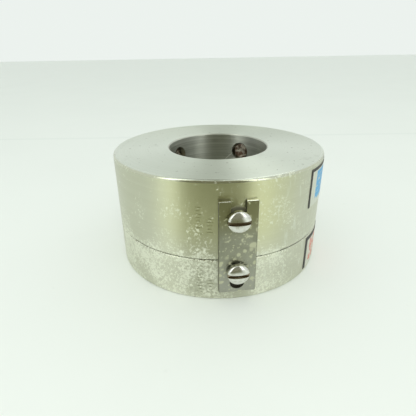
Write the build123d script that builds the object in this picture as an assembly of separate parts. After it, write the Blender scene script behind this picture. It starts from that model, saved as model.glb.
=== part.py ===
from build123d import *
import math
import os

# A shrouded beam coupling: two stainless hubs of one outside diameter, joined by a
# helically cut beam sleeve that works in an annular pocket inside them.
# Frame: millimetres, +Z along the shaft axis, origin at the centre of the lower face.
# Angles are degrees about +Z, counted from +X. The setting plate faces -Y.

# Envelope
OUTER_RADIUS = 52.5
BORE_RADIUS = 25.0
TOTAL_HEIGHT = 56.5
LOWER_HEIGHT = 20.5
PARTING_GAP = 0.4
UPPER_BASE = LOWER_HEIGHT + PARTING_GAP

# Annular pocket that holds the beam sleeve
POCKET_INNER = 33.0
POCKET_OUTER = 45.0
POCKET_FLOOR = 11.0
POCKET_ROOF = 40.5

# Edge breaks
TOP_EDGE_FILLET = 1.2
BORE_EDGE_CHAMFER = 0.5
BASE_BORE_CHAMFER = 0.4
PARTING_BORE_CHAMFER = 0.5
BASE_EDGE_CHAMFER = 0.8
PARTING_EDGE_CHAMFER = 0.35

# Clearances
THREAD_CLEARANCE = 0.05
SEAT_CLEARANCE = 0.03

# Beam sleeve
BEAM_INNER = 34.5
BEAM_OUTER = 42.5
COLLAR_HEIGHT = 7.0
BEAM_STARTS = 2
BEAM_LEAD = 9.0
BEAM_SLOT_WIDTH = 1.2
BEAM_RELIEF_RADIUS = 1.5
BEAM_END_MARGIN = 1.9

# Dust seal that bridges the parting line inside the skirts
SEAL_RECESS_RADIUS = 47.2
SEAL_RECESS_REACH = 1.7
SEAL_INNER = 45.3
SEAL_OUTER = 46.9
SEAL_END_CLEARANCE = 0.4

# Stop pins: pressed in the lower hub, loose in the upper hub
PIN_COUNT = 4
PIN_FIRST_ANGLE = 5.5
PIN_CIRCLE_RADIUS = 29.0
PIN_RADIUS = 1.99
PIN_SEAT_RADIUS = 2.0
PIN_SLACK_RADIUS = 2.4
PIN_SEAT_DEPTH = 8.0
PIN_LENGTH = 12.8
PIN_SLACK_DEPTH = 5.6
PIN_EDGE_CHAMFER = 0.4

# Flange screws: M5 socket heads from the lower face into the sleeve
FLANGE_SCREW_COUNT = 8
FLANGE_SCREW_FIRST_ANGLE = 28.0
FLANGE_CIRCLE_RADIUS = (BEAM_INNER + BEAM_OUTER) / 2
M5_RADIUS = 2.5
M5_CLEAR_RADIUS = 2.75
FLANGE_HEAD_RADIUS = 4.25
FLANGE_HEAD_HEIGHT = 5.0
FLANGE_COUNTERBORE_RADIUS = 4.75
FLANGE_COUNTERBORE_DEPTH = 5.6
FLANGE_SCREW_LENGTH = 12.0
FLANGE_KEY_SIZE = 4.0
FLANGE_KEY_DEPTH = 2.5

# Collar lock screws: M5 grub screws through the upper skirt
LOCK_SCREW_ANGLES = (35.5, 95.5, 155.5)
LOCK_SCREW_HEIGHT = 36.8
LOCK_TIP_RADIUS = 42.6
LOCK_HOLE_RADIUS = 42.0
LOCK_SCREW_LENGTH = 8.0
LOCK_KEY_SIZE = 2.5
LOCK_KEY_DEPTH = 2.5
LOCK_POINT_CHAMFER = 0.6

# Shaft set screws, two to a hub, a right angle apart
SET_SCREW_ANGLES = (50.5, 140.5)
SET_TIP_DEPTHS = (0.45, 1.9)
UPPER_SET_RADIUS = 5.0
UPPER_SET_HEIGHT = 47.0
UPPER_SET_LENGTH = 25.0
UPPER_SET_KEY = 5.0
LOWER_SET_RADIUS = 4.0
LOWER_SET_HEIGHT = 5.5
LOWER_SET_LENGTH = 25.0
LOWER_SET_KEY = 4.0
SET_POINT_CHAMFER = 1.2
SET_CUP_DEPTH = 0.9
SET_KEY_DEPTH = 4.0

# Setting plate and its slotted pan head screws
PLATE_WIDTH = 16.0
PLATE_BOTTOM = 5.5
PLATE_TOP = 48.5
PLATE_THICKNESS = 1.6
PLATE_STANDOFF = 0.1
PLATE_CORNER_RADIUS = 0.45
PLATE_EDGE_CHAMFER = 0.2
PLATE_SLOT_WIDTH = 6.4
FORK_BOTTOM = 36.2
LOWER_SLOT_BOTTOM = 7.1
LOWER_SLOT_TOP = 19.2
PLATE_SCREW_LENGTH = 8.0
UPPER_PLATE_SCREW_HEIGHT = 40.3
LOWER_PLATE_SCREW_HEIGHT = 16.0
UPPER_HEAD_GAP = 0.4
LOWER_HEAD_GAP = 0.9
PAN_HEAD_RADIUS = 4.75
PAN_HEAD_RIM = 1.5
PAN_HEAD_HEIGHT = 3.4
PAN_HEAD_SHOULDER = 0.62
PAN_SLOT_WIDTH = 1.6
PAN_SLOT_DEPTH = 1.5
PLATE_BACK = OUTER_RADIUS + PLATE_STANDOFF
PLATE_FRONT = PLATE_BACK + PLATE_THICKNESS

# Labels: thin foil wrapped on the outside diameter
LABEL_GAP = 0.02
LABEL_THICKNESS = 0.16
UPPER_LABEL_ANGLES = (-48.5, 6.5)
UPPER_LABEL_HEIGHTS = (35.9, 54.0)
LOWER_LABEL_ANGLES = (-46.0, 6.5)
LOWER_LABEL_HEIGHTS = (2.0, 19.4)

# Match marks: shallow strokes that show how the hubs were assembled
MARK_LENGTHS = (2.6, 1.5, 2.1)
MARK_WIDTH = 0.35
MARK_DEPTH = 0.15
MARK_PITCH = 1.5
MARK_LONG_COLUMN = (-107.4, 9)
MARK_SHORT_COLUMN = (-102.3, 5)
UPPER_MARK_HEIGHTS = (33.2, 34.2)
LOWER_MARK_HEIGHTS = (4.2, 4.2)

UPRIGHT = (Align.CENTER, Align.CENTER, Align.MIN)
CUT_ALLOWANCE = 1.0


def cylinder(radius, low, high):
    """A solid cylinder on the shaft axis between two heights."""
    return Pos(0, 0, low) * Cylinder(radius, high - low, align=UPRIGHT)


def ring(inner, outer, low, high):
    """A plain ring on the shaft axis between two heights."""
    return cylinder(outer, low, high) - cylinder(inner, low - CUT_ALLOWANCE, high + CUT_ALLOWANCE)


def on_circle(shape, radius, angle, height=0.0):
    """Move a shape out to a radius and turn it round the shaft axis."""
    return Rot(0, 0, angle) * Pos(radius, 0, height) * shape


def radial_rod(radius, start, end, angle, height):
    """A cylinder that lies along a radius between two distances from the axis."""
    rod = Rot(0, 90, 0) * Cylinder(radius, end - start, align=UPRIGHT)
    return on_circle(rod, start, angle, height)


def even_angles(count, first):
    """Equally spaced angles round the full circle."""
    return [first + step * 360.0 / count for step in range(count)]


def edges_at(part, radius, height):
    """The circular edges of one radius at one height."""
    circles = part.edges().filter_by(GeomType.CIRCLE)
    return [e for e in circles
            if abs(e.radius - radius) < 0.01 and abs(e.arc_center.Z - height) < 0.01]


def match_marks(heights):
    """Two columns of shallow strokes, standing just left of the setting plate."""
    strokes = []
    depth_box = MARK_DEPTH + CUT_ALLOWANCE
    centre = OUTER_RADIUS - MARK_DEPTH + depth_box / 2
    for (angle, count), first_height in zip((MARK_LONG_COLUMN, MARK_SHORT_COLUMN), heights):
        for step in range(count):
            length = MARK_LENGTHS[step % len(MARK_LENGTHS)]
            stroke = Box(depth_box, length, MARK_WIDTH)
            strokes.append(on_circle(stroke, centre, angle, first_height + step * MARK_PITCH))
    return strokes


def make_lower_hub():
    """The short hub: bore, pocket, skirt, and every hole that it carries."""
    hub = ring(BORE_RADIUS, OUTER_RADIUS, 0, LOWER_HEIGHT)
    hub = chamfer(edges_at(hub, OUTER_RADIUS, 0), BASE_EDGE_CHAMFER)
    hub = chamfer(edges_at(hub, OUTER_RADIUS, LOWER_HEIGHT), PARTING_EDGE_CHAMFER)
    hub = chamfer(edges_at(hub, BORE_RADIUS, 0), BASE_BORE_CHAMFER)
    hub = chamfer(edges_at(hub, BORE_RADIUS, LOWER_HEIGHT), PARTING_BORE_CHAMFER)
    hub -= ring(POCKET_INNER, POCKET_OUTER, POCKET_FLOOR, LOWER_HEIGHT + CUT_ALLOWANCE)
    seal_floor = LOWER_HEIGHT - SEAL_RECESS_REACH
    hub -= ring(POCKET_OUTER - CUT_ALLOWANCE, SEAL_RECESS_RADIUS, seal_floor,
                LOWER_HEIGHT + CUT_ALLOWANCE)
    for angle in even_angles(FLANGE_SCREW_COUNT, FLANGE_SCREW_FIRST_ANGLE):
        clearance = cylinder(M5_CLEAR_RADIUS, -CUT_ALLOWANCE, POCKET_FLOOR + CUT_ALLOWANCE)
        counterbore = cylinder(FLANGE_COUNTERBORE_RADIUS, -CUT_ALLOWANCE, FLANGE_COUNTERBORE_DEPTH)
        hub -= on_circle(clearance, FLANGE_CIRCLE_RADIUS, angle)
        hub -= on_circle(counterbore, FLANGE_CIRCLE_RADIUS, angle)
    for angle in even_angles(PIN_COUNT, PIN_FIRST_ANGLE):
        seat = cylinder(PIN_SEAT_RADIUS, LOWER_HEIGHT - PIN_SEAT_DEPTH, LOWER_HEIGHT + CUT_ALLOWANCE)
        hub -= on_circle(seat, PIN_CIRCLE_RADIUS, angle)
    for angle in SET_SCREW_ANGLES:
        hub -= radial_rod(LOWER_SET_RADIUS, BORE_RADIUS - 4, OUTER_RADIUS + CUT_ALLOWANCE,
                          angle, LOWER_SET_HEIGHT)
    hub -= radial_rod(M5_RADIUS + THREAD_CLEARANCE, POCKET_OUTER - CUT_ALLOWANCE,
                      OUTER_RADIUS + CUT_ALLOWANCE, -90, LOWER_PLATE_SCREW_HEIGHT)
    for stroke in match_marks(LOWER_MARK_HEIGHTS):
        hub -= stroke
    return hub


def make_upper_hub():
    """The tall hub: bore, pocket, skirt, and every hole that it carries."""
    hub = ring(BORE_RADIUS, OUTER_RADIUS, UPPER_BASE, TOTAL_HEIGHT)
    hub = fillet(edges_at(hub, OUTER_RADIUS, TOTAL_HEIGHT), TOP_EDGE_FILLET)
    hub = chamfer(edges_at(hub, OUTER_RADIUS, UPPER_BASE), PARTING_EDGE_CHAMFER)
    hub = chamfer(edges_at(hub, BORE_RADIUS, TOTAL_HEIGHT), BORE_EDGE_CHAMFER)
    hub = chamfer(edges_at(hub, BORE_RADIUS, UPPER_BASE), PARTING_BORE_CHAMFER)
    hub -= ring(POCKET_INNER, POCKET_OUTER, UPPER_BASE - CUT_ALLOWANCE, POCKET_ROOF)
    seal_roof = UPPER_BASE + SEAL_RECESS_REACH
    hub -= ring(POCKET_OUTER - CUT_ALLOWANCE, SEAL_RECESS_RADIUS, UPPER_BASE - CUT_ALLOWANCE, seal_roof)
    for angle in even_angles(PIN_COUNT, PIN_FIRST_ANGLE):
        slack = cylinder(PIN_SLACK_RADIUS, UPPER_BASE - CUT_ALLOWANCE, UPPER_BASE + PIN_SLACK_DEPTH)
        hub -= on_circle(slack, PIN_CIRCLE_RADIUS, angle)
    for angle in SET_SCREW_ANGLES:
        hub -= radial_rod(UPPER_SET_RADIUS, BORE_RADIUS - 4, OUTER_RADIUS + CUT_ALLOWANCE,
                          angle, UPPER_SET_HEIGHT)
    for angle in LOCK_SCREW_ANGLES:
        hub -= radial_rod(M5_RADIUS + THREAD_CLEARANCE, POCKET_OUTER - CUT_ALLOWANCE,
                          OUTER_RADIUS + CUT_ALLOWANCE, angle, LOCK_SCREW_HEIGHT)
    hub -= radial_rod(M5_RADIUS + THREAD_CLEARANCE, POCKET_OUTER - CUT_ALLOWANCE,
                      OUTER_RADIUS + CUT_ALLOWANCE, -90, UPPER_PLATE_SCREW_HEIGHT)
    for stroke in match_marks(UPPER_MARK_HEIGHTS):
        hub -= stroke
    return hub


def helical_slot(start_angle, low, high):
    """One slot that winds up the sleeve, with a round relief hole at each end."""
    middle = (BEAM_INNER + BEAM_OUTER) / 2
    reach = (BEAM_OUTER - BEAM_INNER) / 2 + CUT_ALLOWANCE
    path = Pos(0, 0, low) * Helix(pitch=BEAM_LEAD, height=high - low, radius=middle)
    start = path @ 0
    section = Plane(origin=start, x_dir=(1, 0, 0), z_dir=path % 0) * Rectangle(2 * reach, BEAM_SLOT_WIDTH)
    slot = sweep(section, path=path, is_frenet=True)
    turns = (high - low) / BEAM_LEAD
    slot = Rot(0, 0, start_angle) * slot
    reliefs = [
        radial_rod(BEAM_RELIEF_RADIUS, middle - reach, middle + reach, start_angle, low),
        radial_rod(BEAM_RELIEF_RADIUS, middle - reach, middle + reach, start_angle + 360 * turns, high),
    ]
    return [slot] + reliefs


def make_beam_sleeve():
    """The flexing element: two end collars and the helical beams between them."""
    base = POCKET_FLOOR + SEAT_CLEARANCE
    top = POCKET_ROOF - SEAT_CLEARANCE
    lower_collar_top = base + COLLAR_HEIGHT
    upper_collar_base = top - COLLAR_HEIGHT
    sleeve = ring(BEAM_INNER, BEAM_OUTER, base, top)
    sleeve += ring(POCKET_INNER + THREAD_CLEARANCE, BEAM_OUTER, base, lower_collar_top)
    sleeve += ring(BEAM_INNER, POCKET_OUTER - THREAD_CLEARANCE, upper_collar_base, top)
    for angle in even_angles(FLANGE_SCREW_COUNT, FLANGE_SCREW_FIRST_ANGLE):
        tapped = cylinder(M5_RADIUS + THREAD_CLEARANCE, base - CUT_ALLOWANCE, lower_collar_top)
        sleeve -= on_circle(tapped, FLANGE_CIRCLE_RADIUS, angle)
    for angle in LOCK_SCREW_ANGLES:
        sleeve -= radial_rod(M5_RADIUS + THREAD_CLEARANCE, LOCK_HOLE_RADIUS,
                             POCKET_OUTER + CUT_ALLOWANCE, angle, LOCK_SCREW_HEIGHT)
    low = lower_collar_top + BEAM_END_MARGIN
    high = upper_collar_base - BEAM_END_MARGIN
    for angle in even_angles(BEAM_STARTS, 0):
        for cutter in helical_slot(angle, low, high):
            sleeve -= cutter
    return sleeve


def make_dust_seal():
    """A soft band that bridges the parting line from inside the skirts."""
    low = LOWER_HEIGHT - SEAL_RECESS_REACH + SEAL_END_CLEARANCE
    high = UPPER_BASE + SEAL_RECESS_REACH - SEAL_END_CLEARANCE
    return ring(SEAL_INNER, SEAL_OUTER, low, high)


def make_stop_pin(angle):
    """A chamfered dowel that limits how far the hubs can turn against each other."""
    base = LOWER_HEIGHT - PIN_SEAT_DEPTH
    pin = cylinder(PIN_RADIUS, base, base + PIN_LENGTH)
    pin = chamfer(pin.edges().filter_by(GeomType.CIRCLE), PIN_EDGE_CHAMFER)
    return on_circle(pin, PIN_CIRCLE_RADIUS, angle)


def hex_socket(across_flats, depth):
    """A hexagonal key socket that opens at z = 0 and goes down."""
    outline = RegularPolygon(across_flats / 2, 6, major_radius=False)
    return Pos(0, 0, -depth) * extrude(outline, amount=depth + CUT_ALLOWANCE)


def make_flange_screw(angle):
    """An M5 socket head cap screw, head down in its counterbore."""
    seat = FLANGE_COUNTERBORE_DEPTH
    head = cylinder(FLANGE_HEAD_RADIUS, seat - FLANGE_HEAD_HEIGHT, seat)
    head = chamfer(edges_at(head, FLANGE_HEAD_RADIUS, seat - FLANGE_HEAD_HEIGHT), PIN_EDGE_CHAMFER)
    shank = cylinder(M5_RADIUS, seat, seat + FLANGE_SCREW_LENGTH)
    shank = chamfer(edges_at(shank, M5_RADIUS, seat + FLANGE_SCREW_LENGTH), PIN_EDGE_CHAMFER)
    socket = Rot(180, 0, 0) * hex_socket(FLANGE_KEY_SIZE, FLANGE_KEY_DEPTH)
    screw = head + shank - Pos(0, 0, seat - FLANGE_HEAD_HEIGHT) * socket
    return on_circle(screw, FLANGE_CIRCLE_RADIUS, angle)


def grub_screw(radius, length, key_size, key_depth, point_chamfer, cup_depth):
    """A grub screw on +Z: its point at z = 0, its key socket at the far end."""
    screw = cylinder(radius, 0, length)
    screw = chamfer(edges_at(screw, radius, 0), point_chamfer)
    screw = chamfer(edges_at(screw, radius, length), PIN_EDGE_CHAMFER)
    if cup_depth > 0:
        cup_radius = (radius - point_chamfer) * 0.8
        cup = Cone(cup_radius, cup_radius * 0.15, cup_depth, align=UPRIGHT)
        screw -= cup
    return screw - Pos(0, 0, length) * hex_socket(key_size, key_depth)


def place_radially(screw, tip_radius, angle, height):
    """Lay a screw made on +Z along a radius, its point towards the axis."""
    return on_circle(Rot(0, 90, 0) * screw, tip_radius, angle, height)


def make_lock_screw(angle):
    """An M5 grub screw that stops the sleeve's upper collar from unscrewing."""
    screw = grub_screw(M5_RADIUS, LOCK_SCREW_LENGTH, LOCK_KEY_SIZE, LOCK_KEY_DEPTH,
                       LOCK_POINT_CHAMFER, 0)
    return place_radially(screw, LOCK_TIP_RADIUS, angle, LOCK_SCREW_HEIGHT)


def make_set_screw(radius, length, key_size, angle, height, tip_depth):
    """A cup point set screw that grips the shaft, its tip a little back from the bore."""
    screw = grub_screw(radius - THREAD_CLEARANCE, length, key_size, SET_KEY_DEPTH,
                       SET_POINT_CHAMFER, SET_CUP_DEPTH)
    return place_radially(screw, BORE_RADIUS + tip_depth, angle, height)


def plate_slot(low, high):
    """The cutter for a round-ended slot in the plate, as an upright stadium."""
    rounded = SlotOverall(high - low, PLATE_SLOT_WIDTH, rotation=90)
    return extrude(Pos(0, (low + high) / 2) * rounded, amount=2 * CUT_ALLOWANCE + PLATE_THICKNESS)


def make_setting_plate():
    """The flat bar that holds the two hubs at their set gap: fork above, slot below."""
    height = PLATE_TOP - PLATE_BOTTOM
    outline = RectangleRounded(PLATE_WIDTH, height, PLATE_CORNER_RADIUS)
    flat = extrude(Pos(0, PLATE_BOTTOM + height / 2) * outline, amount=PLATE_THICKNESS)
    front_edges = flat.faces().sort_by(Axis.Z)[-1].edges()
    flat = chamfer(front_edges, PLATE_EDGE_CHAMFER)
    flat -= Pos(0, 0, -CUT_ALLOWANCE) * plate_slot(FORK_BOTTOM, PLATE_TOP + 2 * PLATE_SLOT_WIDTH)
    flat -= Pos(0, 0, -CUT_ALLOWANCE) * plate_slot(LOWER_SLOT_BOTTOM, LOWER_SLOT_TOP)
    return Pos(0, -PLATE_BACK, 0) * Rot(90, 0, 0) * flat


def make_plate_screw(height, head_gap):
    """A slotted pan head M5 screw whose head stands off the plate by a small gap."""
    head_profile = make_face([
        Line((0, 0), (PAN_HEAD_RADIUS, 0)),
        Line((PAN_HEAD_RADIUS, 0), (PAN_HEAD_RADIUS, PAN_HEAD_RIM)),
        ThreePointArc((PAN_HEAD_RADIUS, PAN_HEAD_RIM),
                      (PAN_HEAD_RADIUS * 0.66, PAN_HEAD_HEIGHT - PAN_HEAD_SHOULDER),
                      (0, PAN_HEAD_HEIGHT)),
        Line((0, PAN_HEAD_HEIGHT), (0, 0)),
    ])
    head = revolve(Plane.XZ * head_profile, axis=Axis.Z)
    slot = Pos(0, 0, PAN_HEAD_HEIGHT) * Box(4 * PAN_HEAD_RADIUS, PAN_SLOT_WIDTH, 2 * PAN_SLOT_DEPTH)
    shank = cylinder(M5_RADIUS, -PLATE_SCREW_LENGTH, 0)
    shank = chamfer(edges_at(shank, M5_RADIUS, -PLATE_SCREW_LENGTH), PIN_EDGE_CHAMFER)
    screw = head + shank - slot
    return Pos(0, -(PLATE_FRONT + head_gap), height) * Rot(90, 0, 0) * screw


def make_label(angles, heights):
    """A foil label: a thin sector of a ring that lies on the outside diameter."""
    inner = OUTER_RADIUS + LABEL_GAP
    band = ring(inner, inner + LABEL_THICKNESS, heights[0], heights[1])
    span = angles[1] - angles[0]
    far = 2 * OUTER_RADIUS
    half = math.radians(span / 2)
    wedge_outline = Polyline((0, 0), (far, -far * math.tan(half)), (far, far * math.tan(half)), close=True)
    wedge = extrude(make_face(wedge_outline), amount=TOTAL_HEIGHT)
    return band & (Rot(0, 0, (angles[0] + angles[1]) / 2) * wedge)


def make_parts():
    """Every piece of the coupling, by its node name."""
    parts = {
        "lower_hub": make_lower_hub(),
        "upper_hub": make_upper_hub(),
        "beam_sleeve": make_beam_sleeve(),
        "dust_seal": make_dust_seal(),
        "setting_plate": make_setting_plate(),
        "plate_screw_upper": make_plate_screw(UPPER_PLATE_SCREW_HEIGHT, UPPER_HEAD_GAP),
        "plate_screw_lower": make_plate_screw(LOWER_PLATE_SCREW_HEIGHT, LOWER_HEAD_GAP),
        "label_upper": make_label(UPPER_LABEL_ANGLES, UPPER_LABEL_HEIGHTS),
        "label_lower": make_label(LOWER_LABEL_ANGLES, LOWER_LABEL_HEIGHTS),
    }
    for index, angle in enumerate(even_angles(PIN_COUNT, PIN_FIRST_ANGLE), start=1):
        parts[f"stop_pin_{index}"] = make_stop_pin(angle)
    for index, angle in enumerate(even_angles(FLANGE_SCREW_COUNT, FLANGE_SCREW_FIRST_ANGLE), start=1):
        parts[f"flange_screw_{index}"] = make_flange_screw(angle)
    for index, angle in enumerate(LOCK_SCREW_ANGLES, start=1):
        parts[f"collar_lock_screw_{index}"] = make_lock_screw(angle)
    for index, (angle, depth) in enumerate(zip(SET_SCREW_ANGLES, SET_TIP_DEPTHS), start=1):
        parts[f"upper_set_screw_{index}"] = make_set_screw(
            UPPER_SET_RADIUS, UPPER_SET_LENGTH, UPPER_SET_KEY, angle, UPPER_SET_HEIGHT, depth)
        parts[f"lower_set_screw_{index}"] = make_set_screw(
            LOWER_SET_RADIUS, LOWER_SET_LENGTH, LOWER_SET_KEY, angle, LOWER_SET_HEIGHT, depth)
    return parts


def main():
    os.makedirs("parts", exist_ok=True)
    for name, part in make_parts().items():
        export_step(part, f"parts/{name}.step")


main()
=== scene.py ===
import math

import bmesh
import bpy
from mathutils import Matrix, Vector


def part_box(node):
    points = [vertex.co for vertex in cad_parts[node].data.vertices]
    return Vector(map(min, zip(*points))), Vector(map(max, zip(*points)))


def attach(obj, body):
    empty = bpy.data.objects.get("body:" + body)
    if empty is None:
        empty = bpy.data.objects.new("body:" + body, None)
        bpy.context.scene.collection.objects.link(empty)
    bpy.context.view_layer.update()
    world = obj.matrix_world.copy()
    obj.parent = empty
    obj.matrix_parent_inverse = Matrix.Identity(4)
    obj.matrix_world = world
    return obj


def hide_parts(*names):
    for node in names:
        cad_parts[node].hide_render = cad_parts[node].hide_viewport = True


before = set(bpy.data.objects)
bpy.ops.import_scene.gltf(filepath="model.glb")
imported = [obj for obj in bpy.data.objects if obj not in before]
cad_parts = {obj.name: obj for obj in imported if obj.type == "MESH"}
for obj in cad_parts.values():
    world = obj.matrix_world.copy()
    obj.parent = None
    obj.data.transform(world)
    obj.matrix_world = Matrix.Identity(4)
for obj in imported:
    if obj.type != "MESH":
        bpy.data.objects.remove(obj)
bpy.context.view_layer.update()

MM = 0.001
DEGREE = math.pi / 180

# ---- sizes taken from the frame, in metres and degrees ----
LOW_HUB_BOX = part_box("lower_hub")
TOP_HUB_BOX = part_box("upper_hub")
OUTER_R = TOP_HUB_BOX[1].x
TOP_Z = TOP_HUB_BOX[1].z
PARTING_Z = (LOW_HUB_BOX[1].z + TOP_HUB_BOX[0].z) / 2
SET_SCREW_1_MIDDLE = sum(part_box("upper_set_screw_1"), Vector()) / 2
SET_SCREW_1_ANGLE = math.degrees(math.atan2(SET_SCREW_1_MIDDLE.y, SET_SCREW_1_MIDDLE.x))
SET_SCREW_1_HEIGHT = SET_SCREW_1_MIDDLE.z
PLATE_SCREWS = ("plate_screw_lower", "plate_screw_upper")
PLATE_SCREW_HEIGHTS = [sum(corner.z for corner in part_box(node)) / 2 for node in PLATE_SCREWS]

# ---- sizes the frame's boxes do not give ----
BORE_R = 25.0 * MM
M5_CREST = 2.5 * MM
M5_PITCH = 0.8 * MM
M5_THREAD_DEPTH = 0.49 * MM
PAN_HEAD_HEIGHT = 3.4 * MM
PAN_HEAD_RIM = 1.5 * MM
PAN_SLOT_WIDTH = 1.6 * MM
PAN_SLOT_DEPTH = 1.5 * MM
DOME_STEPS = 22
DOME_FULLNESS = 0.86
SET_SCREW_LENGTH = 25.0 * MM
SET_SCREW_PITCH = {"upper": 1.5 * MM, "lower": 1.25 * MM}
SET_SCREW_CHAMFER = 1.2 * MM
CUP_DEPTH = 0.9 * MM
HEX_SOCKET_DEPTH = 4.0 * MM
THREAD_DEPTH_PER_PITCH = 0.61
CREST_FLAT = 0.12
RING_SIDES = 64
ROWS_PER_PITCH = 10

# ---- camera, in outer radii from the centre of the base ----
CAMERA_PLACE = Vector((-0.501, -3.267, 1.937)) * OUTER_R
CAMERA_AIM = Vector((0.1087, 0.8994, -0.4234))
CAMERA_ROLL = math.radians(-0.85)
CAMERA_LENS = 29.58
SENSOR = 36.0


def rgb(red, green, blue):
    return (red, green, blue, 1.0)


# ---- the room: what the camera sees behind the part, and what reflections see ----
WORLD_COLOR = rgb(0.84, 0.89, 0.855)
ROOM_COLOR = rgb(0.84, 0.885, 0.85)
BEAM_COLOR = rgb(0.22, 0.23, 0.15)
SKYLIGHT_COLOR = rgb(1.9, 1.95, 1.85)
DARK_FRONT_COLOR = rgb(0.25, 0.25, 0.18)
LEFT_WINDOW_COLOR = rgb(2.75, 2.9, 2.75)
RIGHT_WINDOW_COLOR = rgb(2.35, 2.45, 2.3)
DARK_FLOOR_COLOR = rgb(0.13, 0.13, 0.06)


# ---- small helpers for node trees ----
class Tree:
    """A short way to write a node tree: most calls add one node and return its output socket."""

    def __init__(self, node_tree):
        self.nodes = node_tree.nodes
        self.links = node_tree.links

    def feed(self, socket, value):
        if isinstance(value, bpy.types.NodeSocket):
            self.links.new(value, socket)
        else:
            socket.default_value = value

    def separate(self, vector):
        node = self.nodes.new("ShaderNodeSeparateXYZ")
        self.links.new(vector, node.inputs[0])
        return node.outputs

    def vector(self, x, y, z):
        node = self.nodes.new("ShaderNodeCombineXYZ")
        for socket, value in zip(node.inputs, (x, y, z)):
            self.feed(socket, value)
        return node.outputs[0]

    def math(self, operation, *values, clamp=False):
        node = self.nodes.new("ShaderNodeMath")
        node.operation = operation
        node.use_clamp = clamp
        for socket, value in zip(node.inputs, values):
            self.feed(socket, value)
        return node.outputs[0]

    def add(self, a, b, clamp=False):
        return self.math("ADD", a, b, clamp=clamp)

    def subtract(self, a, b, clamp=False):
        return self.math("SUBTRACT", a, b, clamp=clamp)

    def multiply(self, a, b, clamp=False):
        return self.math("MULTIPLY", a, b, clamp=clamp)

    def larger(self, a, b):
        return self.math("MAXIMUM", a, b)

    def inverse(self, value):
        return self.subtract(1.0, value)

    def length(self, a, b):
        return self.math("SQRT", self.add(self.multiply(a, a), self.multiply(b, b)))

    def degrees(self, operation, *values):
        """An inverse trigonometric operation, in degrees."""
        return self.multiply(self.math(operation, *values), 1 / DEGREE)

    def step(self, value, low, high, to_low=0.0, to_high=1.0):
        """A smooth ramp of value from low to high."""
        node = self.nodes.new("ShaderNodeMapRange")
        node.interpolation_type = "SMOOTHSTEP"
        for socket, item in zip(node.inputs, (value, low, high, to_low, to_high)):
            self.feed(socket, item)
        return node.outputs[0]

    def fall(self, value, low, high):
        """A smooth ramp from 1 at low to 0 at high."""
        return self.step(value, low, high, 1.0, 0.0)

    def window(self, value, low, high, soft):
        """1 where value lies between low and high, with soft edges."""
        return self.multiply(self.step(value, low - soft, low + soft),
                             self.fall(value, high - soft, high + soft))

    def mix(self, share, a, b):
        """Colour a, turned to colour b by a share."""
        node = self.nodes.new("ShaderNodeMix")
        node.data_type = "RGBA"
        for index, value in ((0, share), (6, a), (7, b)):
            self.feed(node.inputs[index], value)
        return node.outputs[2]

    def blend(self, share, a, b):
        """Number a, turned to number b by a share."""
        node = self.nodes.new("ShaderNodeMix")
        node.data_type = "FLOAT"
        for index, value in ((0, share), (2, a), (3, b)):
            self.feed(node.inputs[index], value)
        return node.outputs[0]

    def noise(self, vector, scale, detail=2.0, roughness=0.5, distortion=0.0):
        node = self.nodes.new("ShaderNodeTexNoise")
        self.links.new(vector, node.inputs["Vector"])
        node.inputs["Scale"].default_value = scale
        node.inputs["Detail"].default_value = detail
        node.inputs["Roughness"].default_value = roughness
        node.inputs["Distortion"].default_value = distortion
        return node.outputs[0]

    def sway(self, vector, scale, width):
        """Noise about zero, as wide as a length."""
        return self.multiply(self.subtract(self.noise(vector, scale, 3.0), 0.5), width)

    def cells(self, vector, scale):
        """Distance to the middle of the nearest of many scattered cells."""
        node = self.nodes.new("ShaderNodeTexVoronoi")
        self.links.new(vector, node.inputs["Vector"])
        node.inputs["Scale"].default_value = scale
        return node.outputs["Distance"]


class Surface(Tree):
    """The node tree of a material, with the object's coordinates at hand in metres and degrees."""

    def __init__(self, name):
        self.material = bpy.data.materials.new(name)
        self.material.use_nodes = True
        super().__init__(self.material.node_tree)
        self.nodes.clear()
        self.coords = self.nodes.new("ShaderNodeTexCoord").outputs["Object"]
        self.x, self.y, self.z = self.separate(self.coords)
        self.radius = self.length(self.x, self.y)
        self.angle = self.degrees("ARCTAN2", self.y, self.x)

    def bump(self, height, distance, strength, normal=None):
        node = self.nodes.new("ShaderNodeBump")
        node.inputs["Strength"].default_value = strength
        node.inputs["Distance"].default_value = distance
        self.links.new(height, node.inputs["Height"])
        if normal is not None:
            self.links.new(normal, node.inputs["Normal"])
        return node.outputs[0]

    def finish(self, **sockets):
        """Close the tree with a Principled shader and return the material."""
        shader = self.nodes.new("ShaderNodeBsdfPrincipled")
        output = self.nodes.new("ShaderNodeOutputMaterial")
        self.links.new(shader.outputs[0], output.inputs[0])
        for name, value in sockets.items():
            self.feed(shader.inputs[name.replace("_", " ")], value)
        return self.material


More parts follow.
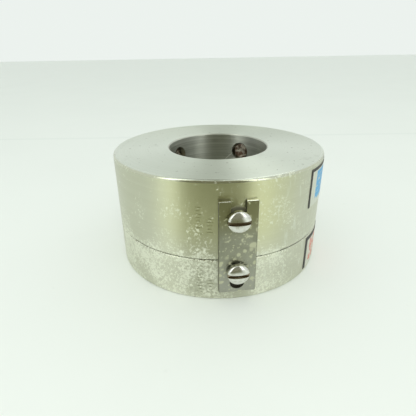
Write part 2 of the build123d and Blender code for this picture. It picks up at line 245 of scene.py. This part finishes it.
# ---- material of the hubs ----
def turned_stainless():
    """Both hubs: fine turning marks, a yellow tint over the front that is a painted reflection of the olive
    room ahead, dried water stains, and painted shade round the plate screws.
    """
    t = Surface("turned_stainless")
    outside = t.step(t.radius, OUTER_R - 1.6 * MM, OUTER_R - 0.3 * MM)
    in_bore = t.fall(t.radius, BORE_R + 0.3 * MM, BORE_R + 0.7 * MM)
    end_face = t.multiply(t.step(t.z, TOP_Z - 0.5 * MM, TOP_Z - 0.05 * MM), t.inverse(in_bore))
    top_edge = t.multiply(t.step(t.radius, OUTER_R - 1.3 * MM, OUTER_R - 0.9 * MM),
                          t.step(t.z, TOP_Z - 1.3 * MM, TOP_Z - 1.0 * MM))
    near_parting = t.window(t.z, PARTING_Z - 0.6 * MM, PARTING_Z + 0.6 * MM, 0.05 * MM)
    bright_edges = t.larger(top_edge, t.multiply(outside, near_parting))
    wall_marks, face_marks = turning_marks(t)
    marks = t.blend(end_face, wall_marks, face_marks)
    stain = t.multiply(dried_water(t), outside, clamp=True)
    # Painted shade: a dark painted shadow on the hubs below the lower plate screw and round the upper one,
    # where the screw heads shade the wall.
    screw_shade = painted_shade_near_screws(t)

    # A yellow tint over the front: a painted reflection of the olive room ahead.
    tint = painted_reflection_tint(t, top_edge, outside)
    color = t.mix(end_face, wall_color(t, wall_marks, tint), face_color(t, face_marks))
    color = t.mix(in_bore, color, bore_color(t, wall_marks))
    color = t.mix(t.multiply(wiped_streaks(t, outside), 0.45), color, rgb(0.80, 0.84, 0.74))
    color = t.mix(t.multiply(stain, 0.75), color, rgb(0.80, 0.83, 0.68))
    # The near-black painted shadow by the plate screws goes into the colour here.
    color = t.mix(screw_shade, color, rgb(0.022, 0.018, 0.010))

    rough = t.blend(end_face, 0.40, 0.36)
    rough = t.blend(in_bore, rough, 0.42)
    rough = t.blend(bright_edges, rough, 0.17)
    rough = t.add(rough, t.multiply(t.subtract(marks, 0.5), 0.10))
    rough = t.blend(t.larger(stain, screw_shade), rough, 0.62)
    metal = t.blend(t.larger(t.multiply(stain, 0.6), screw_shade), 1.0, 0.0)
    normal = t.bump(stain, 0.00003, 0.5, t.bump(marks, 0.00002, 0.4))
    tangent = t.nodes.new("ShaderNodeTangent")
    tangent.direction_type = "RADIAL"
    tangent.axis = "Z"
    return t.finish(Base_Color=color, Metallic=metal, Roughness=rough, Normal=normal,
                    Anisotropic=0.85, Anisotropic_Rotation=0.25, Tangent=tangent.outputs[0])


def turning_marks(t):
    """Tool marks that depend on height on the cylinders, and on radius on the end faces."""
    slow_turn = t.vector(t.multiply(t.angle, 0.004), 0.0, t.multiply(t.z, 1500.0))
    fine_turn = t.vector(t.multiply(t.angle, 0.02), 3.0, t.multiply(t.z, 4200.0))
    facing = t.vector(t.multiply(t.angle, 0.003), 7.0, t.multiply(t.radius, 2600.0))
    wall_marks = t.add(t.multiply(t.noise(slow_turn, 1.0, 2.0), 0.6),
                       t.multiply(t.noise(fine_turn, 1.0, 1.0), 0.4))
    return wall_marks, t.noise(facing, 1.0, 3.0)


def dampness(t):
    """How much of the outside dried from wet: most on the low ring and towards the left."""
    low_ring = t.fall(t.z, PARTING_Z - 1 * MM, PARTING_Z + 7 * MM)
    low_half = t.fall(t.z, PARTING_Z + 2 * MM, 44 * MM)
    to_left = t.window(t.angle, -165.0, -94.0, 10.0)
    to_right = t.window(t.angle, -84.0, -62.0, 6.0)
    on_ring = t.multiply(low_ring, t.add(0.25, t.multiply(to_left, 0.75)))
    above = t.multiply(low_half, t.add(0.05, t.multiply(to_left, 0.12)))
    on_right = t.multiply(to_right, t.add(0.26, t.multiply(low_ring, 0.55)))
    return t.add(t.add(on_ring, above), on_right, clamp=True)


def dried_water(t):
    """Dried water: fine lace and round drops where the surface was damp."""
    damp = dampness(t)
    patch = t.noise(t.coords, 95.0, 2.0, 0.5)
    lace = t.noise(t.coords, 900.0, 4.0, 0.62, 0.8)
    wet = t.add(t.multiply(patch, 0.40), lace)
    blots = t.step(t.add(wet, t.multiply(damp, 0.14)), 0.815, 0.895)
    wobble = t.sway(t.coords, 500.0, 1.6 * MM)
    swayed = t.vector(t.add(t.x, wobble), t.add(t.y, wobble), t.add(t.z, wobble))
    drops = t.fall(t.cells(swayed, 620.0), 0.20, 0.36)
    gate = t.step(t.add(t.noise(t.coords, 90.0, 1.0), t.multiply(damp, 0.22)), 0.625, 0.70)
    return t.larger(blots, t.multiply(t.multiply(drops, gate), 0.7))


def wiped_streaks(t, outside):
    """Streaks where something was wiped down beside the labels."""
    slant = t.add(t.multiply(t.z, 95.0), t.multiply(t.angle, 0.11))
    streaks = t.noise(t.vector(t.multiply(t.angle, 0.55), 5.0, slant), 1.0, 3.0, 0.55)
    beside_labels = t.multiply(t.window(t.angle, -76.0, -42.0, 6.0), outside)
    return t.multiply(t.step(streaks, 0.56, 0.68), beside_labels)


def painted_reflection_tint(t, top_edge, outside):
    """A yellow tint over the front of the outside, a painted reflection of the olive room ahead, that thins
    out downwards and spares the top edge.
    """
    tint = t.multiply(t.window(t.angle, -122.0, -66.0, 14.0), t.step(t.z, 14 * MM, 40 * MM))
    return t.multiply(t.subtract(tint, t.multiply(top_edge, 0.85), clamp=True), outside)


def wall_color(t, marks, tint):
    cast = t.noise(t.coords, 14.0, 2.0)
    color = t.mix(t.step(cast, 0.35, 0.65), rgb(0.60, 0.61, 0.48), rgb(0.65, 0.66, 0.54))
    color = t.mix(t.multiply(t.step(marks, 0.3, 0.7), 0.30), color, rgb(0.53, 0.53, 0.40))
    # Yellow over the front: the painted reflection of the olive room ahead.
    return t.mix(t.multiply(tint, 0.75), color, rgb(0.64, 0.64, 0.36))


def face_color(t, marks):
    """The upper end face, with dull bruises and small dark pits."""
    color = t.mix(t.step(marks, 0.25, 0.75), rgb(0.67, 0.71, 0.62), rgb(0.72, 0.76, 0.68))
    bruise = t.step(t.noise(t.coords, 120.0, 4.0, 0.65), 0.58, 0.74)
    pits = t.step(t.noise(t.coords, 640.0, 1.0), 0.715, 0.750)
    color = t.mix(t.multiply(bruise, 0.42), color, rgb(0.54, 0.57, 0.49))
    return t.mix(t.multiply(pits, 0.6), color, rgb(0.25, 0.24, 0.18))


def bore_color(t, marks):
    color = t.mix(t.step(marks, 0.3, 0.7), rgb(0.44, 0.45, 0.39), rgb(0.64, 0.65, 0.58))
    return t.mix(burr_in_bore(t), color, rgb(0.95, 0.94, 0.86))


def burr_in_bore(t):
    """A bright scratch on the bore wall that runs down and round from the first set screw."""
    along_wall = t.multiply(t.subtract(t.angle, SET_SCREW_1_ANGLE + 10.0), BORE_R * DEGREE)
    drop = t.subtract(SET_SCREW_1_HEIGHT - 1.0 * MM, t.z)
    across = t.subtract(drop, t.multiply(along_wall, 0.95))
    return t.multiply(t.window(across, -0.22 * MM, 0.22 * MM, 0.1 * MM),
                      t.window(along_wall, 0.0, 4.6 * MM, 0.2 * MM))


def painted_shade_near_screws(t):
    """Painted shade on the -Y side: a dark painted shadow below the lower plate screw and in a ring round
    the upper one.
    """
    low_screw, high_screw = PLATE_SCREW_HEIGHTS
    ragged = t.sway(t.coords, 420.0, 1.4 * MM)
    total = 0.0
    for height, reach, share in ((low_screw - 2.5 * MM, 7.4 * MM, 1.0), (high_screw, 5.8 * MM, 0.8)):
        apart = t.length(t.x, t.subtract(t.z, height))
        spot = t.step(t.add(apart, ragged), reach - 1.1 * MM, reach, share, 0.0)
        total = t.larger(total, spot)
    return t.multiply(total, t.fall(t.y, -OUTER_R + 2 * MM, -OUTER_R + 4 * MM))


# ---- materials of the other pieces ----
def dried_drops(t):
    """Round dried drops of three sizes, more of them half way up the plate."""
    wobble = t.sway(t.coords, 500.0, 1.3 * MM)
    swayed = t.vector(t.add(t.x, wobble), 0.0, t.add(t.z, wobble))
    middle = t.multiply(t.window(t.z, 18 * MM, 34 * MM, 4 * MM), 0.10)
    total = 0.0
    for scale, size, low in ((210.0, 0.33, 0.50), (330.0, 0.30, 0.47), (700.0, 0.26, 0.52)):
        gate = t.step(t.add(t.noise(t.coords, scale * 0.8, 0.0), middle), low, low + 0.05)
        drops = t.fall(t.cells(swayed, scale), size - 0.07, size + 0.05)
        total = t.larger(total, t.multiply(drops, gate))
    return total


def plate_steel():
    """The setting plate: rolled strip, darker and greyer, with round dried drops, a painted highlight on
    upward edge faces and painted shade on the other edge faces.
    """
    t = Surface("plate_steel")
    grain = t.noise(t.vector(t.multiply(t.x, 2600.0), t.y, t.multiply(t.z, 70.0)), 1.0, 3.0)
    _, facing_y, facing_z = t.separate(t.nodes.new("ShaderNodeNewGeometry").outputs["True Normal"])
    front = t.step(t.multiply(facing_y, -1.0), 0.80, 0.95)
    upward = t.step(facing_z, 0.4, 0.7)
    drops = t.multiply(dried_drops(t), front)

    cloud = t.step(t.noise(t.coords, 95.0, 3.0), 0.35, 0.65)
    olive_top = t.multiply(t.step(t.z, 30 * MM, 43 * MM), 0.85)
    grey_foot = t.multiply(t.fall(t.z, 8 * MM, 26 * MM), 0.6)
    color = t.mix(cloud, rgb(0.34, 0.345, 0.265), rgb(0.42, 0.425, 0.335))
    color = t.mix(olive_top, color, rgb(0.32, 0.31, 0.155))
    color = t.mix(grey_foot, color, rgb(0.40, 0.40, 0.36))
    color = t.mix(t.multiply(drops, 0.55), color, rgb(0.64, 0.65, 0.42))
    # Edge faces get a painted highlight where they face up and painted shade where they face sideways or
    # down.
    lit_and_shaded_edge = t.mix(upward, rgb(0.17, 0.165, 0.12), rgb(0.74, 0.74, 0.66))
    color = t.mix(front, lit_and_shaded_edge, color)

    rough = t.blend(drops, t.add(0.30, t.multiply(grain, 0.16)), 0.55)
    rough = t.blend(t.multiply(upward, t.inverse(front)), rough, 0.16)
    metal = t.blend(t.multiply(drops, 0.5), 1.0, 0.0)
    return t.finish(Base_Color=color, Metallic=metal, Roughness=rough, Normal=t.bump(grain, 0.00002, 0.5))


def bright_screw():
    """Polished pan heads: glossy, with a brown film where grime stays, and dark brown in the slots that is
    painted shade of the recess mixed with grime.
    """
    t = Surface("bright_screw")
    tint = t.noise(t.coords, 700.0, 4.0, 0.6)
    scratches = t.noise(t.vector(t.multiply(t.x, 9000.0), t.y, t.multiply(t.z, 900.0)), 1.0, 2.0)
    color = t.mix(t.step(tint, 0.45, 0.75), rgb(0.76, 0.76, 0.71), rgb(0.56, 0.54, 0.46))
    half_slot = PAN_SLOT_WIDTH / 2 + 0.03 * MM
    # Painted shade in each slot: the recess is painted dark brown, with grime.
    for node, height in zip(PLATE_SCREWS, PLATE_SCREW_HEIGHTS):
        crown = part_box(node)[0].y
        in_slot = t.multiply(t.window(t.z, height - half_slot, height + half_slot, 0.02 * MM),
                             t.window(t.y, crown + 0.9 * MM, crown + 2.0 * MM, 0.35 * MM))
        color = t.mix(in_slot, color, rgb(0.30, 0.25, 0.18))
    rough = t.add(0.13, t.multiply(tint, 0.12))
    return t.finish(Base_Color=color, Metallic=1.0, Roughness=rough, Normal=t.bump(scratches, 0.000008, 0.4))


def plain_steel(name, dark, pale, roughness, scale):
    """Small steel pieces: a mottled tone and an uneven gloss."""
    t = Surface(name)
    mottle = t.noise(t.coords, scale, 4.0, 0.6)
    color = t.mix(t.step(mottle, 0.35, 0.7), dark, pale)
    rough = t.add(roughness, t.multiply(t.subtract(mottle, 0.5), 0.25))
    return t.finish(Base_Color=color, Metallic=1.0, Roughness=rough, Normal=t.bump(mottle, 0.00003, 0.4))


def set_screw_steel():
    """Set screws: greyish steel, worn to a coppery colour at the point, with oily dirt in the threads."""
    t = Surface("set_screw_steel")
    point = t.fall(t.radius, 28.0 * MM, 34.0 * MM)
    mottle = t.noise(t.coords, 420.0, 4.0, 0.6)
    fine = t.noise(t.coords, 1900.0, 2.0)
    steel = t.mix(t.step(mottle, 0.35, 0.65), rgb(0.38, 0.36, 0.33), rgb(0.56, 0.55, 0.51))
    copper = t.mix(t.step(mottle, 0.44, 0.60), rgb(0.20, 0.125, 0.085), rgb(0.96, 0.85, 0.75))
    color = t.mix(point, steel, copper)
    color = t.mix(t.multiply(t.step(fine, 0.55, 0.75), 0.35), color, rgb(0.12, 0.09, 0.06))
    rough = t.add(0.18, t.multiply(fine, 0.22))
    metal = t.blend(point, 1.0, 0.85)
    return t.finish(Base_Color=color, Metallic=metal, Roughness=rough, Normal=t.bump(fine, 0.00002, 0.5))


def soft_rubber():
    t = Surface("black_rubber")
    grain = t.noise(t.coords, 1500.0, 3.0)
    color = t.mix(grain, rgb(0.018, 0.018, 0.018), rgb(0.035, 0.035, 0.034))
    rough = t.add(0.5, t.multiply(grain, 0.2))
    return t.finish(Base_Color=color, Roughness=rough, Normal=t.bump(grain, 0.00005, 0.5))


def printed_block(t, along, jitter, ends, heights):
    """A block of ink with ragged edges, broken by rows of blank dashes."""
    left, right = ends
    low, high = heights
    block = t.multiply(t.window(t.add(along, t.multiply(jitter, 2.0)), left, right, 0.15 * MM),
                       t.window(t.add(t.z, jitter), low + 2.0 * MM, high - 1.9 * MM, 0.15 * MM))
    rows = t.step(t.math("SINE", t.multiply(t.z, 2300.0)), 0.75, 0.9)
    breaks = t.noise(t.vector(t.multiply(along, 900.0), 0.0, t.multiply(t.z, 366.0)), 1.0, 0.0)
    dashes = t.multiply(rows, t.step(breaks, 0.45, 0.5))
    return t.multiply(block, t.inverse(t.multiply(dashes, 0.55)))


def foil_label(name, angles, heights, border, ink, ink_from, wear):
    """A silver foil label: black border, one worn block of plain colour and blank ruled lines."""
    t = Surface(name)
    soft = 0.06 * MM
    rule_pitch = 3.2 * MM
    left, right = (math.radians(angle) * OUTER_R for angle in angles)
    top_border = heights[1] - border
    along = t.multiply(t.angle, OUTER_R * DEGREE)
    jitter = t.sway(t.coords, 600.0, 0.5 * MM)
    inside = t.multiply(t.window(t.add(along, jitter), left + border, right - border, soft),
                        t.fall(t.add(t.z, jitter), top_border - soft, top_border + soft))

    block_right = left + (right - left) * 0.62
    rub = t.noise(t.coords, 330.0, 4.0, 0.6)
    worn = t.fall(rub, wear - 0.05, wear + 0.05)
    inked = t.multiply(printed_block(t, along, jitter, (left + ink_from, block_right), heights), worn)
    waves = t.math("SINE", t.multiply(t.z, math.tau / rule_pitch))
    rules = t.multiply(t.step(waves, 0.90, 0.96),
                       t.window(along, block_right + 2.5 * MM, right - 3.0 * MM, soft))

    color = t.mix(rub, rgb(0.62, 0.63, 0.54), rgb(0.72, 0.73, 0.64))
    color = t.mix(inked, color, ink)
    color = t.mix(t.multiply(rules, 0.8), color, rgb(0.05, 0.05, 0.05))
    color = t.mix(inside, rgb(0.025, 0.022, 0.018), color)
    printed = t.larger(t.inverse(inside), inked)
    metal = t.blend(printed, 0.85, 0.0)
    rough = t.blend(printed, 0.36, 0.5)
    normal = t.bump(t.add(rub, printed), 0.00003, 0.5)
    return t.finish(Base_Color=color, Metallic=metal, Roughness=rough, Normal=normal)


MATERIALS = {
    "turned_stainless": turned_stainless(),
    "plate_steel": plate_steel(),
    "bright_screw": bright_screw(),
    "spring_steel": plain_steel("spring_steel", rgb(0.42, 0.42, 0.39), rgb(0.56, 0.56, 0.52), 0.32, 160.0),
    "pin_steel": plain_steel("pin_steel", rgb(0.50, 0.50, 0.48), rgb(0.62, 0.62, 0.59), 0.22, 300.0),
    "socket_screw": plain_steel("socket_screw", rgb(0.30, 0.29, 0.25), rgb(0.55, 0.54, 0.49), 0.30, 420.0),
    "grub_screw": plain_steel("grub_screw", rgb(0.22, 0.21, 0.19), rgb(0.42, 0.40, 0.36), 0.36, 420.0),
    "set_screw_steel": set_screw_steel(),
    "black_rubber": soft_rubber(),
    "upper_label_foil": foil_label("upper_label_foil", (-48.5, 6.5), (35.9 * MM, 54.0 * MM), 1.3 * MM,
                                   rgb(0.10, 0.38, 0.66), 6.2 * MM, 0.60),
    "lower_label_foil": foil_label("lower_label_foil", (-46.0, 6.5), (2.0 * MM, 19.4 * MM), 2.0 * MM,
                                   rgb(0.66, 0.22, 0.17), 5.2 * MM, 0.52),
}
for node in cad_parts.values():
    for held in node.material_slots:
        held.material = MATERIALS[held.material.name.split(".")[0]]


# ---- screws rebuilt with real threads and smooth heads ----
def skin(rings):
    """A closed mesh through rings with equal numbers of points, with a cap on each end."""
    mesh = bmesh.new()
    rows = [[mesh.verts.new(point) for point in ring] for ring in rings]
    count = len(rows[0])
    for below, above in zip(rows, rows[1:]):
        for k in range(count):
            following = (k + 1) % count
            mesh.faces.new((below[k], below[following], above[following], above[k]))
    mesh.faces.new(list(reversed(rows[0])))
    mesh.faces.new(rows[-1])
    return mesh


def plain_ring(radius, height, sides=RING_SIDES):
    return [(radius * math.cos(math.tau * k / sides), radius * math.sin(math.tau * k / sides), height)
            for k in range(sides)]


def thread_radius(height, turn, crest, depth, pitch, low, high):
    """Radius of a threaded rod at a height and an angle, fading out at both of its ends."""
    phase = (height / pitch - turn) % 1.0
    ridge = 1.0 - abs(2.0 * phase - 1.0)
    ridge = min(1.0, max(0.0, (ridge - CREST_FLAT) / (1.0 - 2.0 * CREST_FLAT)))
    fade = min(1.0, max(0.0, (height - low) / pitch), max(0.0, (high - height) / pitch))
    return crest - depth * (1.0 - ridge * fade)


def thread_rings(crest, depth, pitch, low, high):
    """Rings of a helical thread between two heights along +Z."""
    count = round((high - low) / pitch * ROWS_PER_PITCH)
    rings = []
    for row in range(count + 1):
        height = low + (high - low) * row / count
        ring = []
        for k in range(RING_SIDES):
            turn = k / RING_SIDES
            radius = thread_radius(height, turn, crest, depth, pitch, low, high)
            ring.append((radius * math.cos(math.tau * turn), radius * math.sin(math.tau * turn), height))
        rings.append(ring)
    return rings


def box_mesh(half_x, half_y, low, high):
    mesh = bmesh.new()
    bmesh.ops.create_cube(mesh, size=1.0)
    for vert in mesh.verts:
        vert.co.x *= 2 * half_x
        vert.co.y *= 2 * half_y
        vert.co.z = low if vert.co.z < 0 else high
    return mesh


def hexagon_mesh(across_flats, low, high):
    corner = across_flats / math.sqrt(3)
    return skin([plain_ring(corner, low, 6), plain_ring(corner, high, 6)])


def work_object(mesh):
    """Put a bmesh in the scene as an object, for a boolean to work on."""
    data = bpy.data.meshes.new("cut_work")
    bmesh.ops.recalc_face_normals(mesh, faces=mesh.faces)
    mesh.to_mesh(data)
    mesh.free()
    item = bpy.data.objects.new("cut_work", data)
    bpy.context.scene.collection.objects.link(item)
    return item


def cut_away(mesh, cutter):
    """The difference of two closed bmeshes, by Blender's exact boolean."""
    blank = work_object(mesh)
    tool = work_object(cutter)
    change = blank.modifiers.new("cut", "BOOLEAN")
    change.operation = "DIFFERENCE"
    change.solver = "EXACT"
    change.object = tool
    result = bpy.data.meshes.new_from_object(blank.evaluated_get(bpy.context.evaluated_depsgraph_get()))
    cut = bmesh.new()
    cut.from_mesh(result)
    for item in (blank, tool):
        data = item.data
        bpy.data.objects.remove(item)
        bpy.data.meshes.remove(data)
    bpy.data.meshes.remove(result)
    return cut


def finish_mesh(mesh, place, slot, node, sharp_angle=28.0):
    """Turn a bmesh into a smooth object that stands for a CAD node and rides on the body of that name."""
    bmesh.ops.recalc_face_normals(mesh, faces=mesh.faces)
    bmesh.ops.triangulate(mesh, faces=[face for face in mesh.faces if len(face.verts) > 4])
    name = node + "_threaded"
    data = bpy.data.meshes.new(name)
    mesh.to_mesh(data)
    mesh.free()
    data.transform(place)
    for face in data.polygons:
        face.use_smooth = True
    data.set_sharp_from_angle(angle=math.radians(sharp_angle))
    piece = bpy.data.objects.new(name, data)
    bpy.context.scene.collection.objects.link(piece)
    data.materials.append(MATERIALS[slot])
    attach(piece, node)
    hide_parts(node)


def shank_rings(length):
    """The threaded M5 shank, from its tip up to the underside of the head at height 0."""
    rings = [plain_ring(1.7 * MM, -length)]
    rings += thread_rings(M5_CREST, M5_THREAD_DEPTH, M5_PITCH, -length + 0.3 * MM, -1.0 * MM)
    rings += [plain_ring(2.0 * MM, -0.5 * MM), plain_ring(2.2 * MM, 0.0)]
    return rings


def pan_head_rings(head_radius):
    """A head with broken edges and a domed crown, from its underside at height 0 up."""
    rings = [plain_ring(head_radius - 0.25 * MM, 0.0),
             plain_ring(head_radius - 0.05 * MM, 0.12 * MM),
             plain_ring(head_radius, 0.35 * MM),
             plain_ring(head_radius, PAN_HEAD_RIM - 0.1 * MM)]
    for step in range(DOME_STEPS):
        lean = math.pi / 2 * (step + 0.5) / DOME_STEPS
        radius = head_radius * math.cos(lean) ** DOME_FULLNESS
        rings.append(plain_ring(radius, PAN_HEAD_RIM + (PAN_HEAD_HEIGHT - PAN_HEAD_RIM) * math.sin(lean)))
    return rings


def pan_head_screw(node):
    """A slotted pan head M5 screw: a domed head with a broken rim, a slot and a threaded shank."""
    low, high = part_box(node)
    middle = (low + high) / 2
    head_radius = (high.x - low.x) / 2
    underside = low.y + PAN_HEAD_HEIGHT
    slot_floor = PAN_HEAD_HEIGHT - PAN_SLOT_DEPTH
    slot = box_mesh(2 * head_radius, PAN_SLOT_WIDTH / 2, slot_floor, PAN_HEAD_HEIGHT + 2 * MM)
    screw = cut_away(skin(shank_rings(high.y - underside) + pan_head_rings(head_radius)), slot)
    place = Matrix.Translation((middle.x, underside, middle.z)) @ Matrix.Rotation(math.pi / 2, 4, "X")
    finish_mesh(screw, place, "bright_screw", node)


def set_screw_rings(crest, pitch):
    """A threaded rod with a cup point at height 0."""
    depth = THREAD_DEPTH_PER_PITCH * pitch
    root = crest - depth
    point = crest - SET_SCREW_CHAMFER
    cup = point * 0.8
    rings = [plain_ring(cup * 0.15, CUP_DEPTH),
             plain_ring(cup, 0.0),
             plain_ring(point - 0.1 * MM, 0.0),
             plain_ring(point, 0.06 * MM),
             plain_ring(root, SET_SCREW_CHAMFER - depth + 0.1 * MM)]
    rings += thread_rings(crest, depth, pitch, SET_SCREW_CHAMFER, SET_SCREW_LENGTH - 0.4 * MM)
    rings += [plain_ring(root - 0.1 * MM, SET_SCREW_LENGTH - 0.1 * MM),
              plain_ring(root - 0.3 * MM, SET_SCREW_LENGTH)]
    return rings


def set_screw(node, pitch):
    """A cup point set screw, threaded all along, with a hexagon socket in its outer end."""
    low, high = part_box(node)
    middle = (low + high) / 2
    crest = (high.z - low.z) / 2
    across_flats = round(crest / MM) * MM
    socket = hexagon_mesh(across_flats, SET_SCREW_LENGTH - HEX_SOCKET_DEPTH, SET_SCREW_LENGTH + 1.0 * MM)
    screw = cut_away(skin(set_screw_rings(crest, pitch)), socket)
    turn = Matrix.Rotation(math.atan2(middle.y, middle.x), 4, "Z")
    start = math.hypot(middle.x, middle.y) - SET_SCREW_LENGTH / 2
    place = turn @ Matrix.Translation((start, 0, middle.z)) @ Matrix.Rotation(math.pi / 2, 4, "Y")
    finish_mesh(screw, place, "set_screw_steel", node)


for level in ("upper", "lower"):
    pan_head_screw(f"plate_screw_{level}")
    for number in (1, 2):
        set_screw(f"{level}_set_screw_{number}", SET_SCREW_PITCH[level])


# ---- stage: floor, lights, camera ----
def pale_floor():
    """A pale sheet with a faint line far behind. Reflections see it dark some way in front of the part."""
    t = Surface("pale_floor")
    ahead = t.add(t.multiply(t.x, CAMERA_AIM.x), t.multiply(t.y, CAMERA_AIM.y))
    line = t.window(ahead, 0.233, 0.237, 0.004)
    paper = t.noise(t.coords, 9.0, 4.0)
    specks = t.step(t.noise(t.coords, 170.0, 2.0), 0.72, 0.80)
    color = t.mix(paper, rgb(0.80, 0.83, 0.79), rgb(0.84, 0.87, 0.83))
    color = t.mix(t.multiply(specks, 0.10), color, rgb(0.45, 0.47, 0.42))
    color = t.mix(t.multiply(line, 0.30), color, rgb(0.62, 0.68, 0.64))
    bearing = t.degrees("ARCTAN2", t.x, t.multiply(t.y, -1.0))
    in_front = t.multiply(t.fall(t.y, -0.150, -0.085), t.window(bearing, -44.0, 20.0, 9.0))
    in_mirror = t.nodes.new("ShaderNodeLightPath").outputs["Is Glossy Ray"]
    color = t.mix(t.multiply(in_front, in_mirror), color, DARK_FLOOR_COLOR)
    return t.finish(Base_Color=color, Roughness=t.add(0.55, t.multiply(paper, 0.1)))


def make_floor():
    half = 4.0
    mesh = bpy.data.meshes.new("floor")
    corners = [(-half, -half, 0), (half, -half, 0), (half, half, 0), (-half, half, 0)]
    mesh.from_pydata(corners, [], [(0, 1, 2, 3)])
    floor = bpy.data.objects.new("floor", mesh)
    floor.location.z = -0.05 * MM
    floor.data.materials.append(pale_floor())
    bpy.context.scene.collection.objects.link(floor)


def make_light():
    """One soft square light in front and above, which reflections do not show."""
    light = bpy.data.lights.new("front_fill", "AREA")
    light.shape = "RECTANGLE"
    light.size = 0.6
    light.size_y = 0.6
    light.energy = 4.7
    light.color = (1.0, 1.0, 0.98)
    lamp = bpy.data.objects.new("front_fill", light)
    lamp.location = (-0.10, -0.85, 0.80)
    aim = Vector((0, 0, 0.03))
    lamp.rotation_euler = (aim - lamp.location).to_track_quat("-Z", "Y").to_euler()
    lamp.visible_glossy = False
    bpy.context.scene.collection.objects.link(lamp)


def room_by_direction(t):
    """The room that reflections see: dark ahead, windows to either side, a beam and a skylight behind."""
    x, y, z = t.separate(t.nodes.new("ShaderNodeTexCoord").outputs["Generated"])
    bearing = t.degrees("ARCTAN2", x, t.multiply(y, -1.0))
    behind = t.degrees("ARCTAN2", x, y)
    height = t.degrees("ARCSINE", z)
    tall = t.window(height, 8.0, 66.0, 6.0)
    zones = (
        (BEAM_COLOR, t.window(behind, -8.0, 17.0, 4.0), t.step(height, 30.0, 42.0)),
        (SKYLIGHT_COLOR, t.window(behind, 21.0, 36.0, 3.0), t.window(height, 34.0, 64.0, 5.0)),
        (DARK_FRONT_COLOR, t.window(bearing, -50.0, 24.0, 5.0), t.fall(height, 62.0, 80.0)),
        (LEFT_WINDOW_COLOR, t.window(bearing, -72.0, -54.0, 3.0), tall),
        (RIGHT_WINDOW_COLOR, t.window(bearing, 28.0, 45.0, 3.0), tall),
    )
    room = ROOM_COLOR
    for color, sideways, upright in zones:
        room = t.mix(t.multiply(sideways, upright), room, color)
    return room


def make_world():
    """Even pale light for the camera and for diffuse surfaces, and the room for reflections."""
    world = bpy.data.worlds.new("studio")
    world.use_nodes = True
    t = Tree(world.node_tree)
    in_mirror = t.nodes.new("ShaderNodeLightPath").outputs["Is Glossy Ray"]
    seen = t.mix(in_mirror, WORLD_COLOR, room_by_direction(t))
    t.links.new(seen, t.nodes["Background"].inputs["Color"])
    bpy.context.scene.world = world


def make_camera():
    data = bpy.data.cameras.new("camera")
    data.sensor_width = SENSOR
    data.lens = CAMERA_LENS
    data.clip_start = 0.01
    camera = bpy.data.objects.new("camera", data)
    turn = CAMERA_AIM.to_track_quat("-Z", "Y").to_matrix().to_4x4()
    camera.matrix_world = Matrix.Translation(CAMERA_PLACE) @ turn @ Matrix.Rotation(CAMERA_ROLL, 4, "Z")
    bpy.context.scene.collection.objects.link(camera)
    bpy.context.scene.camera = camera


make_floor()
make_world()
make_light()
make_camera()
bpy.context.scene.view_settings.view_transform = "Standard"
